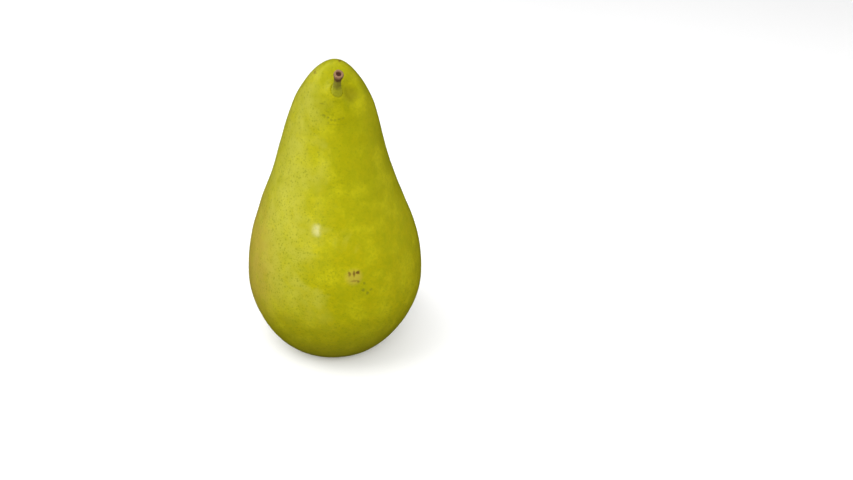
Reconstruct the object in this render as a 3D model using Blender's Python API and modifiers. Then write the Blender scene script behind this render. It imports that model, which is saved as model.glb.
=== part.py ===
"""A ripe pear that stands upright on the rim around its eye.

The flesh is a turned form that has grown a little crooked: the neck nods
forward, the crown swells behind the stem, and the whole fruit sways to one
side. A short stem sits in a seat in front of the crown, and five dried sepals
with a tuft of old stamens are left in the eye underneath.

Units are metres, +Z is up, and -Y is the side that the neck nods towards.
The origin is on the surface that the pear stands on, under its middle.
"""

import math
from typing import NamedTuple

import bmesh
import bpy
from mathutils import Vector

# Flesh, as it would be if it had grown straight
EYE_DEPTH = 0.0060
EYE_FLOOR_REACH = 0.0052
EYE_WALL_REACH = 0.0026
RIM_INNER_RADIUS = 0.0092
RIM_OUTER_RADIUS = 0.0125
RIM_REACH = 0.0113
BELLY_RADIUS = 0.0330
BELLY_HEIGHT = 0.0308
BELLY_REACH_BELOW = 0.0119
BELLY_REACH_ABOVE = 0.0154
WAIST_RADIUS = 0.0234
WAIST_HEIGHT = 0.0695
WAIST_HEADING = 110.8
WAIST_REACH = 0.0147
SHOULDER_RADIUS = 0.0136
SHOULDER_HEIGHT = 0.1004
SHOULDER_HEADING = 115.2
SHOULDER_REACH_BELOW = 0.0063
SHOULDER_REACH_ABOVE = 0.0055
CROWN_RADIUS = 0.0045
CROWN_HEIGHT = 0.1120
CROWN_REACH = 0.0029

# How it has grown crooked
NOD_ANGLE = math.radians(35.0)
NOD_START = 0.0805
NOD_STEPS = 48
SWAY = 0.0013
SWAY_PITCH = 0.100
CROWN_SPREAD = 0.012

# Stem
STEM_SIDE = 0.0003
STEM_FORWARD = 0.0038
STEM_LEAN_FORWARD = math.radians(36.0)
STEM_LEAN_SIDE = math.radians(4.5)
STEM_SEAT_DEPTH = 0.0014
STEM_CUTTER_HEIGHT = 0.0056
STEM_BASE_RADIUS = 0.0021
STEM_WAIST_RADIUS = 0.0011
STEM_KNOB_RADIUS = 0.0016
STEM_PITH_RADIUS = 0.0008
STEM_LENGTH = 0.0110
STEM_BASE_BEVEL = 0.0003
STEM_PITH_DEPTH = 0.0005
STEM_PITH_RIM_RADIUS = 0.0010
STEM_END_RADIUS = 0.0014
STEM_FOOT_FADE = 0.34
STEM_KNOB_PLACE = 0.93
STEM_KNOB_FADE = 0.16
STEM_TOP_SHARE = 0.97

# Calyx, the dried remains of the flower
SEPAL_COUNT = 5
SEPAL_ROOT_RADIUS = 0.0026
SEPAL_ROOT_HEIGHT = 0.0050
SEPAL_LENGTH = 0.0052
SEPAL_WIDTH = 0.0026
SEPAL_TIP_WIDTH = 0.0003
SEPAL_THICKNESS = 0.0004
SEPAL_ROOT_HEADING = math.radians(-78.0)
SEPAL_TIP_HEADING = math.radians(-5.0)
SEPAL_CURL = 1.2
SEPAL_TAPER = 1.8
SEPAL_CUP = 0.0003
TUFT_ROOT_RADIUS = 0.0013
TUFT_TIP_RADIUS = 0.0017
TUFT_TOP = 0.0052
TUFT_BOTTOM = 0.0024

# Gap between touching pieces, and how finely the round pieces are divided
GAP = 0.0003
FRUIT_STEPS = 60
ARC_POINTS = 9
STEM_STEPS = 20
STEM_ROWS = 12
TUFT_STEPS = 14
TUFT_ROWS = 4
SEPAL_ROWS = 8
SEPAL_COLUMNS = 4
SEPAL_SPINE_STEPS = 24
WELD_DISTANCE = 0.00001
SHARP_ANGLE = math.radians(50.0)

# Plain colours and roughnesses of the four finishes
SKIN_COLOR = (0.42, 0.40, 0.02)
SKIN_ROUGHNESS = 0.42
BARK_COLOR = (0.16, 0.11, 0.03)
BARK_ROUGHNESS = 0.75
SEPAL_COLOR = (0.10, 0.06, 0.03)
SEPAL_ROUGHNESS = 0.85
STAMEN_COLOR = (0.05, 0.03, 0.015)
STAMEN_ROUGHNESS = 0.9


class Station(NamedTuple):
    """One place on the straight-grown outline, from the eye outwards and up."""

    radius: float
    height: float
    heading: float
    reach_in: float
    reach_out: float


class Swell(NamedTuple):
    """A soft rise, or with a negative rise a hollow, in the crown."""

    side: float
    back: float
    rise: float
    spread: float


CROWN_SWELLS = (
    Swell(side=0.0, back=0.0080, rise=0.0047, spread=0.0088),
    Swell(side=-0.0090, back=0.0010, rise=0.0014, spread=0.0060),
    Swell(side=STEM_SIDE, back=-STEM_FORWARD, rise=0.0008, spread=0.0032),
    Swell(side=0.0052, back=-0.0030, rise=-0.0016, spread=0.0034),
)


def clear_scene():
    """Removes what the startup file holds."""
    for existing in list(bpy.data.objects):
        bpy.data.objects.remove(existing, do_unlink=True)


def make_collection(name):
    """Adds an empty collection to the scene."""
    collection = bpy.data.collections.new(name)
    bpy.context.scene.collection.children.link(collection)
    return collection


def make_material(name, color, roughness):
    """Makes a plain Principled material; nothing on a pear is metal."""
    material = bpy.data.materials.new(name)
    material.use_nodes = True
    shader = material.node_tree.nodes["Principled BSDF"]
    shader.inputs["Base Color"].default_value = (*color, 1.0)
    shader.inputs["Roughness"].default_value = roughness
    shader.inputs["Metallic"].default_value = 0.0
    return material


def arc_between(start, end):
    """Returns points of the smooth arc from one station to the next, end included."""
    first = Vector((start.radius, start.height))
    last = Vector((end.radius, end.height))
    out_angle = math.radians(start.heading)
    in_angle = math.radians(end.heading)
    leave = first + start.reach_out * Vector((math.cos(out_angle), math.sin(out_angle)))
    arrive = last - end.reach_in * Vector((math.cos(in_angle), math.sin(in_angle)))
    points = []
    for step in range(1, ARC_POINTS + 1):
        t = step / ARC_POINTS
        s = 1.0 - t
        points.append(s**3 * first + 3 * s * s * t * leave + 3 * s * t * t * arrive + t**3 * last)
    return points


def fruit_outline():
    """Returns the straight-grown outline as (radius, height), crown first."""
    eye = Station(0.0, EYE_DEPTH, 0.0, 0.0, EYE_FLOOR_REACH)
    rim_inner = Station(RIM_INNER_RADIUS, 0.0, 0.0, EYE_WALL_REACH, 0.0)
    rim_outer = Station(RIM_OUTER_RADIUS, 0.0, 0.0, 0.0, RIM_REACH)
    belly = Station(BELLY_RADIUS, BELLY_HEIGHT, 90.0, BELLY_REACH_BELOW, BELLY_REACH_ABOVE)
    waist = Station(WAIST_RADIUS, WAIST_HEIGHT, WAIST_HEADING, WAIST_REACH, WAIST_REACH)
    shoulder = Station(
        SHOULDER_RADIUS, SHOULDER_HEIGHT, SHOULDER_HEADING, SHOULDER_REACH_BELOW, SHOULDER_REACH_ABOVE
    )
    crown = Station(CROWN_RADIUS, CROWN_HEIGHT, 180.0, CROWN_REACH, 0.0)
    outline = [Vector((eye.radius, eye.height))]
    outline += arc_between(eye, rim_inner)
    outline.append(Vector((rim_outer.radius, rim_outer.height)))
    for start, end in ((rim_outer, belly), (belly, waist), (waist, shoulder), (shoulder, crown)):
        outline += arc_between(start, end)
    outline.append(Vector((CROWN_RADIUS / 2, CROWN_HEIGHT)))
    outline.append(Vector((0.0, CROWN_HEIGHT)))
    outline.reverse()
    return outline


def nod_angle_at(height):
    """Returns how far the neck has nodded over at a height along its axis."""
    share = min(max((height - NOD_START) / (CROWN_HEIGHT - NOD_START), 0.0), 1.0)
    return NOD_ANGLE * share * share * (3.0 - 2.0 * share)


def axis_at(height):
    """Returns the bent axis at a height along it, as (forward, up)."""
    if height <= NOD_START:
        return 0.0, height
    forward = 0.0
    up = NOD_START
    step = (height - NOD_START) / NOD_STEPS
    for index in range(NOD_STEPS):
        angle = nod_angle_at(NOD_START + (index + 0.5) * step)
        forward += step * math.sin(angle)
        up += step * math.cos(angle)
    return forward, up


def sway_at(height):
    """Returns how far the fruit has swayed towards -X at a height."""
    return SWAY * math.sin(math.pi * (height - BELLY_HEIGHT) / SWAY_PITCH) ** 2


def grow(point):
    """Moves a point of the straight-grown pear to where the crooked one has it."""
    near_crown = math.exp(-(((point.z - CROWN_HEIGHT) / CROWN_SPREAD) ** 2))
    rise = 0.0
    for swell in CROWN_SWELLS:
        distance = math.hypot(point.x - swell.side, point.y - swell.back)
        rise += swell.rise * near_crown * math.exp(-((distance / swell.spread) ** 2))
    angle = nod_angle_at(point.z)
    forward, up = axis_at(point.z)
    return Vector((
        point.x - sway_at(point.z),
        -forward + point.y * math.cos(angle) - rise * math.sin(angle),
        up + point.y * math.sin(angle) + rise * math.cos(angle),
    ))


def turned_mesh(name, outline, steps):
    """Turns an outline at +X, top first, about Z and returns the closed mesh."""
    profile = bpy.data.meshes.new(name + "_profile")
    points = [(point.x, 0.0, point.y) for point in outline]
    edges = [(index, index + 1) for index in range(len(points) - 1)]
    profile.from_pydata(points, edges, [])
    turned = bpy.data.objects.new(name + "_profile", profile)
    bpy.context.scene.collection.objects.link(turned)
    screw = turned.modifiers.new("turn", "SCREW")
    screw.axis = "Z"
    screw.angle = math.tau
    screw.steps = steps
    screw.render_steps = steps
    screw.use_merge_vertices = True
    screw.merge_threshold = WELD_DISTANCE
    mesh = bpy.data.meshes.new_from_object(turned.evaluated_get(bpy.context.evaluated_depsgraph_get()))
    bpy.data.objects.remove(turned, do_unlink=True)
    weld = bmesh.new()
    weld.from_mesh(mesh)
    bmesh.ops.remove_doubles(weld, verts=weld.verts, dist=WELD_DISTANCE)
    weld.to_mesh(mesh)
    weld.free()
    mesh.name = name
    return mesh


def add_object(name, mesh, material, collection):
    """Makes a smooth-shaded object of a mesh, with its material."""
    part = bpy.data.objects.new(name, mesh)
    mesh.materials.clear()
    mesh.materials.append(material)
    mesh.shade_smooth()
    mesh.set_sharp_from_angle(angle=SHARP_ANGLE)
    collection.objects.link(part)
    return part


def stem_seat():
    """Returns the middle of the stem's foot and the way that the stem points."""
    on_crown = grow(Vector((STEM_SIDE, -STEM_FORWARD, CROWN_HEIGHT)))
    direction = Vector((
        math.sin(STEM_LEAN_SIDE),
        -math.sin(STEM_LEAN_FORWARD) * math.cos(STEM_LEAN_SIDE),
        math.cos(STEM_LEAN_FORWARD) * math.cos(STEM_LEAN_SIDE),
    ))
    return on_crown - STEM_SEAT_DEPTH * direction, direction


def build_fruit(collection, cutters):
    """Builds the flesh with its eye underneath and the seat for the stem."""
    mesh = turned_mesh("fruit", fruit_outline(), FRUIT_STEPS)
    for vertex in mesh.vertices:
        vertex.co = grow(vertex.co)
    skin = make_material("pear_skin", SKIN_COLOR, SKIN_ROUGHNESS)
    fruit = add_object("fruit", mesh, skin, collection)

    foot, direction = stem_seat()
    bpy.ops.mesh.primitive_cylinder_add(
        vertices=STEM_STEPS,
        radius=STEM_BASE_RADIUS + GAP,
        depth=STEM_CUTTER_HEIGHT,
        location=foot + (STEM_CUTTER_HEIGHT / 2 - GAP) * direction,
        rotation=direction.to_track_quat("Z", "Y").to_euler(),
    )
    cutter = bpy.context.active_object
    cutter.name = "stem_seat_cutter"
    cutter.hide_render = True
    cutter.display_type = "WIRE"
    for holder in list(cutter.users_collection):
        holder.objects.unlink(cutter)
    cutters.objects.link(cutter)
    seat = fruit.modifiers.new("stem_seat", "BOOLEAN")
    seat.operation = "DIFFERENCE"
    seat.object = cutter
    return fruit


def stem_radius_at(share):
    """Returns the stem's radius at a share of its length: fleshy foot, thin waist, knob."""
    from_foot = share / STEM_FOOT_FADE
    from_knob = (share - STEM_KNOB_PLACE) / STEM_KNOB_FADE
    foot = (STEM_BASE_RADIUS - STEM_WAIST_RADIUS) * math.exp(-(from_foot**2))
    knob = (STEM_KNOB_RADIUS - STEM_WAIST_RADIUS) * math.exp(-(from_knob**2))
    return STEM_WAIST_RADIUS + foot + knob


def build_stem(collection):
    """Builds the stem as a turned piece and stands it in its seat."""
    outline = [
        Vector((0.0, STEM_LENGTH - STEM_PITH_DEPTH)),
        Vector((STEM_PITH_RADIUS, STEM_LENGTH - STEM_PITH_DEPTH)),
        Vector((STEM_PITH_RIM_RADIUS, STEM_LENGTH)),
        Vector((STEM_END_RADIUS, STEM_LENGTH)),
    ]
    for row in range(STEM_ROWS, 0, -1):
        share = STEM_TOP_SHARE * row / STEM_ROWS
        outline.append(Vector((stem_radius_at(share), share * STEM_LENGTH)))
    outline.append(Vector((STEM_BASE_RADIUS, STEM_BASE_BEVEL)))
    outline.append(Vector((STEM_BASE_RADIUS - STEM_BASE_BEVEL, 0.0)))
    outline.append(Vector((0.0, 0.0)))
    bark = make_material("stem_bark", BARK_COLOR, BARK_ROUGHNESS)
    stem = add_object("stem", turned_mesh("stem", outline, STEM_STEPS), bark, collection)
    foot, direction = stem_seat()
    stem.location = foot
    stem.rotation_euler = direction.to_track_quat("Z", "Y").to_euler()
    return stem


def sepal_spine(share):
    """Returns (radius, height, heading) along a sepal that curls out from the eye."""
    radius = SEPAL_ROOT_RADIUS
    height = SEPAL_ROOT_HEIGHT
    step = share * SEPAL_LENGTH / SEPAL_SPINE_STEPS
    for index in range(SEPAL_SPINE_STEPS):
        along = share * (index + 0.5) / SEPAL_SPINE_STEPS
        heading = SEPAL_ROOT_HEADING + (SEPAL_TIP_HEADING - SEPAL_ROOT_HEADING) * along**SEPAL_CURL
        radius += step * math.cos(heading)
        height += step * math.sin(heading)
    heading = SEPAL_ROOT_HEADING + (SEPAL_TIP_HEADING - SEPAL_ROOT_HEADING) * share**SEPAL_CURL
    return radius, height, heading


def build_sepal(number, material, collection):
    """Builds one dried sepal: a pointed, slightly cupped leaf with Solidify."""
    grid = bmesh.new()
    bmesh.ops.create_grid(grid, x_segments=SEPAL_COLUMNS, y_segments=SEPAL_ROWS, size=1.0)
    for vertex in grid.verts:
        across = vertex.co.x
        share = (vertex.co.y + 1.0) / 2.0
        width = SEPAL_TIP_WIDTH + (SEPAL_WIDTH - SEPAL_TIP_WIDTH) * (1.0 - share**SEPAL_TAPER)
        radius, height, heading = sepal_spine(share)
        cup = SEPAL_CUP * across * across * (1.0 - share)
        vertex.co = Vector((
            radius + cup * math.sin(heading),
            across * width / 2.0,
            height - cup * math.cos(heading),
        ))
    mesh = bpy.data.meshes.new(f"sepal_{number}")
    grid.to_mesh(mesh)
    grid.free()
    sepal = add_object(f"sepal_{number}", mesh, material, collection)
    sepal.rotation_euler.z = math.tau * (number - 1) / SEPAL_COUNT
    sepal.location.x = -sway_at(0.0)
    leaf = sepal.modifiers.new("thickness", "SOLIDIFY")
    leaf.thickness = SEPAL_THICKNESS
    leaf.offset = 0.0
    return sepal


def build_tuft(collection):
    """Builds the tuft of old stamens as one small flared plug."""
    outline = [Vector((0.0, TUFT_TOP))]
    for row in range(TUFT_ROWS + 1):
        share = row / TUFT_ROWS
        radius = TUFT_ROOT_RADIUS + (TUFT_TIP_RADIUS - TUFT_ROOT_RADIUS) * share * share
        outline.append(Vector((radius, TUFT_TOP + (TUFT_BOTTOM - TUFT_TOP) * share)))
    outline.append(Vector((TUFT_TIP_RADIUS / 2, TUFT_BOTTOM - GAP)))
    outline.append(Vector((0.0, TUFT_BOTTOM)))
    dry = make_material("dry_stamen", STAMEN_COLOR, STAMEN_ROUGHNESS)
    tuft = add_object("stamen_tuft", turned_mesh("stamen_tuft", outline, TUFT_STEPS), dry, collection)
    tuft.location.x = -sway_at(0.0)
    return tuft


def main():
    """Builds the pear."""
    clear_scene()
    pear = make_collection("pear")
    cutters = make_collection("cutters")
    build_fruit(pear, cutters)
    build_stem(pear)
    dry_leaf = make_material("dry_sepal", SEPAL_COLOR, SEPAL_ROUGHNESS)
    for number in range(1, SEPAL_COUNT + 1):
        build_sepal(number, dry_leaf, pear)
    build_tuft(pear)


main()
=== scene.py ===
"""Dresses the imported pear: a fine skin, a woody stem and a dried flower in the eye.

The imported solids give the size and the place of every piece. Each one is
replaced here by a finer mesh of nearly the same form, with a finish of its
own, and stood on a pale floor under soft light. The crown's hollow is deeper
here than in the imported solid, and the stem tapers a little differently.

Units are metres, +Z is up, and -Y is the side that the neck nods towards.
"""

import logging
import math
import random
from dataclasses import dataclass, field
from enum import Enum

import bpy
import numpy as np
from mathutils import Euler, Matrix, Vector, noise

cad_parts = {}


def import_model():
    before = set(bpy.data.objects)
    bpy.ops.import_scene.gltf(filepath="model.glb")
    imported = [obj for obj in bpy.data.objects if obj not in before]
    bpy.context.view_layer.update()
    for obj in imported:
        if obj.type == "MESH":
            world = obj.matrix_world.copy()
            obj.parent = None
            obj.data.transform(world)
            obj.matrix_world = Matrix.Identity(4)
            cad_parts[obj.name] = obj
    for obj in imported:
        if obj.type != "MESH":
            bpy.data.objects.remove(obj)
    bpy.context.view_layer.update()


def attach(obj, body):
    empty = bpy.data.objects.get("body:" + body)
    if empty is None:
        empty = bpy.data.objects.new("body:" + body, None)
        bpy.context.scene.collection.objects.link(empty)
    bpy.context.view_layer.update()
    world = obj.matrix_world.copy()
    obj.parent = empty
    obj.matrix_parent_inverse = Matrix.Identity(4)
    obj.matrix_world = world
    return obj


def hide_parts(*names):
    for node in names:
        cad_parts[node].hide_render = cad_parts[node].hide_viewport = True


LOG = logging.getLogger("pear")
BODY = "root"

Color = tuple[float, float, float]
Triple = tuple[float, float, float]
Socket = bpy.types.NodeSocket
FLECK: Color = (0.110, 0.125, 0.008)
SPOT_CORE = 0.35


class Slot(Enum):
    """The record's material slots."""

    SKIN = "pear_skin"
    BARK = "stem_bark"
    SEPAL = "dry_sepal"
    STAMEN = "dry_stamen"


class Curl(Enum):
    """How far the tip of a dried sepal has curled, as a share of the usual."""

    FLAT = 0.75
    USUAL = 1.0
    TIGHT = 1.2


def smooth_step(low: float, high: float, value: np.ndarray) -> np.ndarray:
    """Eases from 0 to 1 between two limits.

    Args:
        low: Where the ease starts.
        high: Where the ease ends.
        value: The values to ease.

    Returns:
        The eased shares, from 0 to 1.
    """
    share = np.clip((value - low) / (high - low), 0.0, 1.0)
    return share * share * (3.0 - 2.0 * share)


def noise_at(points: np.ndarray, size: float, seed: float) -> np.ndarray:
    """Reads smooth noise at many points.

    Args:
        points: Points in metres, with x, y and z on the last axis.
        size: The size of one lump of the noise, in metres.
        seed: Shifts the noise, so that two layers differ.

    Returns:
        One value from about -1 to 1 for each point.
    """
    flat = points.reshape(-1, 3) / size + seed
    values = [noise.noise(Vector(point)) for point in flat]
    return np.array(values).reshape(points.shape[:-1])


def sheet_mesh(name: str, rows: np.ndarray, first_pole: bool, last_pole: bool) -> bpy.types.Mesh:
    """Makes a mesh of rings that close on themselves.

    Args:
        name: The mesh's name.
        rows: Points as (ring, place in the ring, xyz).
        first_pole: Whether the first ring is one point.
        last_pole: Whether the last ring is one point.

    Returns:
        The smooth-shaded mesh.
    """
    rings, places = rows.shape[:2]
    first = 1 if first_pole else 0
    last = rings - 1 if last_pole else rings
    points = rows[first:last].reshape(-1, 3).tolist()
    faces = []
    for ring in range(last - first - 1):
        for place in range(places):
            after = (place + 1) % places
            upper = ring * places
            lower = upper + places
            faces.append((upper + place, lower + place, lower + after, upper + after))
    for wanted, ring, base in ((first_pole, 0, 0), (last_pole, rings - 1, (last - first - 1) * places)):
        if not wanted:
            continue
        pole = len(points)
        points.append(rows[ring, 0].tolist())
        for place in range(places):
            after = (place + 1) % places
            pair = (base + place, base + after) if ring == 0 else (base + after, base + place)
            faces.append((pole, *pair))
    mesh = bpy.data.meshes.new(name)
    mesh.from_pydata(points, [], faces)
    mesh.validate()
    mesh.shade_smooth()
    return mesh


def add_piece(
    name: str, mesh: bpy.types.Mesh, material: bpy.types.Material
) -> bpy.types.Object:
    """Adds a finished piece that belongs to the pear.

    Args:
        name: The piece's name.
        mesh: Its mesh, in the frame's own metres.
        material: Its finish.

    Returns:
        The piece, riding on the pear's one body.
    """
    piece = bpy.data.objects.new(name, mesh)
    mesh.materials.append(material)
    bpy.context.scene.collection.objects.link(piece)
    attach(piece, BODY)
    return piece


@dataclass(frozen=True)
class Station:
    """One place on the straight-grown outline, from the eye outwards and up."""

    radius: float
    height: float
    heading: float
    reach_in: float
    reach_out: float

    def arc_to(self, end: "Station", points: int) -> np.ndarray:
        """Draws the smooth arc to the next station.

        Args:
            end: The next station.
            points: How many points to give, the last one on the next station.

        Returns:
            Radius and height of each point.
        """
        t = (np.arange(1, points + 1) / points)[:, None]
        s = 1.0 - t
        first = np.array((self.radius, self.height))
        last = np.array((end.radius, end.height))
        out_angle = math.radians(self.heading)
        in_angle = math.radians(end.heading)
        leave = first + self.reach_out * np.array((math.cos(out_angle), math.sin(out_angle)))
        arrive = last - end.reach_in * np.array((math.cos(in_angle), math.sin(in_angle)))
        return s**3 * first + 3 * s * s * t * leave + 3 * s * t * t * arrive + t**3 * last


@dataclass(frozen=True)
class Swell:
    """A soft rise, or with a negative rise a hollow, in the crown."""

    side: float
    back: float
    rise: float
    spread: float


@dataclass(frozen=True)
class Dent:
    """A shallow press mark in the flesh, in straight-grown azimuth and height."""

    azimuth: float
    height: float
    depth: float
    spread: float


@dataclass(frozen=True)
class Relief:
    """A layer of lumps in a surface: their size, a seed and their depth."""

    size: float
    seed: float
    depth: float


@dataclass(frozen=True)
class Ramp:
    """An ease from a start to where it is full, and how much it then counts."""

    start: float
    full: float
    share: float = 1.0


@dataclass(frozen=True)
class Grain:
    """A layer of cloudy noise: its lump size, and between which values it sets in."""

    size: float
    low: float
    high: float
    detail: float = 3.0
    warp: float = 0.0
    share: float = 1.0


@dataclass(frozen=True)
class DotLayer:
    """A scatter of dots: their spacing, their width in spacings and their strength."""

    spacing: float
    width: float
    share: float


@dataclass(frozen=True)
class Mark:
    """A small stain on the skin, in straight-grown azimuth and height."""

    azimuth: float
    height: float
    width: float
    tall: float
    strength: float
    color: Color = (0.135, 0.070, 0.010)


@dataclass(frozen=True)
class PearForm:
    """The form of the flesh: a turned outline that has grown a little crooked."""

    eye_depth: float = 0.0060
    eye: Station = Station(0.0, 0.0060, 0.0, 0.0, 0.0052)
    rim_inner: Station = Station(0.0092, 0.0, 0.0, 0.0026, 0.0)
    rim_outer: Station = Station(0.0125, 0.0, 0.0, 0.0, 0.0113)
    belly: Station = Station(0.0330, 0.0308, 90.0, 0.0119, 0.0154)
    waist: Station = Station(0.0234, 0.0695, 110.8, 0.0147, 0.0147)
    shoulder: Station = Station(0.0136, 0.1004, 115.2, 0.0063, 0.0055)
    crown: Station = Station(0.0045, 0.1120, 180.0, 0.0029, 0.0)
    nod_angle: float = math.radians(35.0)
    nod_start: float = 0.0805
    nod_steps: int = 240
    sway: float = 0.0013
    sway_pitch: float = 0.100
    crown_spread: float = 0.012
    eye_points: int = 34
    rim_points: int = 6
    below_belly_points: int = 50
    above_belly_points: int = 54
    neck_points: int = 42
    shoulder_points: int = 46
    crown_points: int = 22
    swells: tuple[Swell, ...] = (
        Swell(side=0.0, back=0.0080, rise=0.0047, spread=0.0088),
        Swell(side=-0.0090, back=0.0010, rise=0.0014, spread=0.0060),
        Swell(side=0.0003, back=-0.0038, rise=0.0008, spread=0.0032),
        Swell(side=0.0052, back=-0.0030, rise=-0.0033, spread=0.0032),
        Swell(side=0.0098, back=-0.0020, rise=0.0005, spread=0.0030),
    )

    def outline(self) -> np.ndarray:
        """Returns radius and height from the crown down to the middle of the eye."""
        parts = [np.array([[0.0, self.eye_depth]]), self.eye.arc_to(self.rim_inner, self.eye_points)]
        rim = np.linspace(self.rim_inner.radius, self.rim_outer.radius, self.rim_points)[1:]
        parts.append(np.stack((rim, np.zeros_like(rim)), axis=1))
        parts.append(self.rim_outer.arc_to(self.belly, self.below_belly_points))
        parts.append(self.belly.arc_to(self.waist, self.above_belly_points))
        parts.append(self.waist.arc_to(self.shoulder, self.neck_points))
        parts.append(self.shoulder.arc_to(self.crown, self.shoulder_points))
        top = np.linspace(self.crown.radius, 0.0, self.crown_points)[1:]
        parts.append(np.stack((top, np.full_like(top, self.crown.height)), axis=1))
        return np.concatenate(parts)[::-1]

    def nod_at(self, height: np.ndarray) -> np.ndarray:
        """Returns how far the neck has nodded over at heights along its axis."""
        return self.nod_angle * smooth_step(self.nod_start, self.crown.height, height)

    def axis_at(self, height: np.ndarray) -> tuple[np.ndarray, np.ndarray]:
        """Follows the bent axis.

        Args:
            height: Heights along the axis.

        Returns:
            How far forward and how far up each height lies.
        """
        edges = np.linspace(self.nod_start, self.crown.height, self.nod_steps + 1)
        angles = self.nod_at((edges[1:] + edges[:-1]) / 2)
        step = edges[1] - edges[0]
        forward = np.concatenate(([0.0], np.cumsum(step * np.sin(angles))))
        up = np.concatenate(([self.nod_start], self.nod_start + np.cumsum(step * np.cos(angles))))
        bent = np.interp(height, edges, up)
        return np.interp(height, edges, forward), np.where(height < self.nod_start, height, bent)

    def sway_at(self, height: np.ndarray) -> np.ndarray:
        """Returns how far the fruit has swayed towards -X at heights."""
        return self.sway * np.sin(math.pi * (height - self.belly.height) / self.sway_pitch) ** 2

    def grow(self, points: np.ndarray) -> np.ndarray:
        """Moves straight-grown points to where the crooked pear has them.

        Args:
            points: Points with x, y and z on the last axis.

        Returns:
            The moved points, in the same layout.
        """
        x, y, z = points[..., 0], points[..., 1], points[..., 2]
        near_crown = np.exp(-(((z - self.crown.height) / self.crown_spread) ** 2))
        rise = np.zeros_like(z)
        for swell in self.swells:
            distance = np.hypot(x - swell.side, y - swell.back)
            rise += swell.rise * near_crown * np.exp(-((distance / swell.spread) ** 2))
        angle = self.nod_at(z)
        forward, up = self.axis_at(z)
        return np.stack((
            x - self.sway_at(z),
            -forward + y * np.cos(angle) - rise * np.sin(angle),
            up + y * np.sin(angle) + rise * np.cos(angle),
        ), axis=-1)

    def radius_at(self, height: float) -> float:
        """Returns the straight-grown radius at a height above the rim."""
        outline = self.outline()
        outside = outline[: int(np.argmin(outline[:, 1])) + 1][::-1]
        return float(np.interp(height, outside[:, 1], outside[:, 0]))

    def skin_point(self, azimuth: float, height: float) -> Vector:
        """Finds a place on the skin.

        Args:
            azimuth: Degrees from the front, positive towards +X.
            height: Straight-grown height.

        Returns:
            The place on the crooked pear.
        """
        angle = math.radians(azimuth)
        radius = self.radius_at(height)
        straight = np.array((radius * math.sin(angle), -radius * math.cos(angle), height))
        return Vector(self.grow(straight))


@dataclass(frozen=True)
class StemSeat:
    """Where the stem stands and which way it points."""

    side: float = 0.0003
    forward: float = 0.0038
    lean_forward: float = math.radians(36.0)
    lean_side: float = math.radians(4.5)
    depth: float = 0.0014

    def direction(self) -> Vector:
        """Returns the way that the stem points."""
        return Vector((
            math.sin(self.lean_side),
            -math.sin(self.lean_forward) * math.cos(self.lean_side),
            math.cos(self.lean_forward) * math.cos(self.lean_side),
        ))

    def foot(self, form: PearForm) -> Vector:
        """Returns the middle of the stem's foot, down in its seat."""
        on_crown = form.grow(np.array((self.side, -self.forward, form.crown.height)))
        return Vector(on_crown) - self.depth * self.direction()


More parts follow.
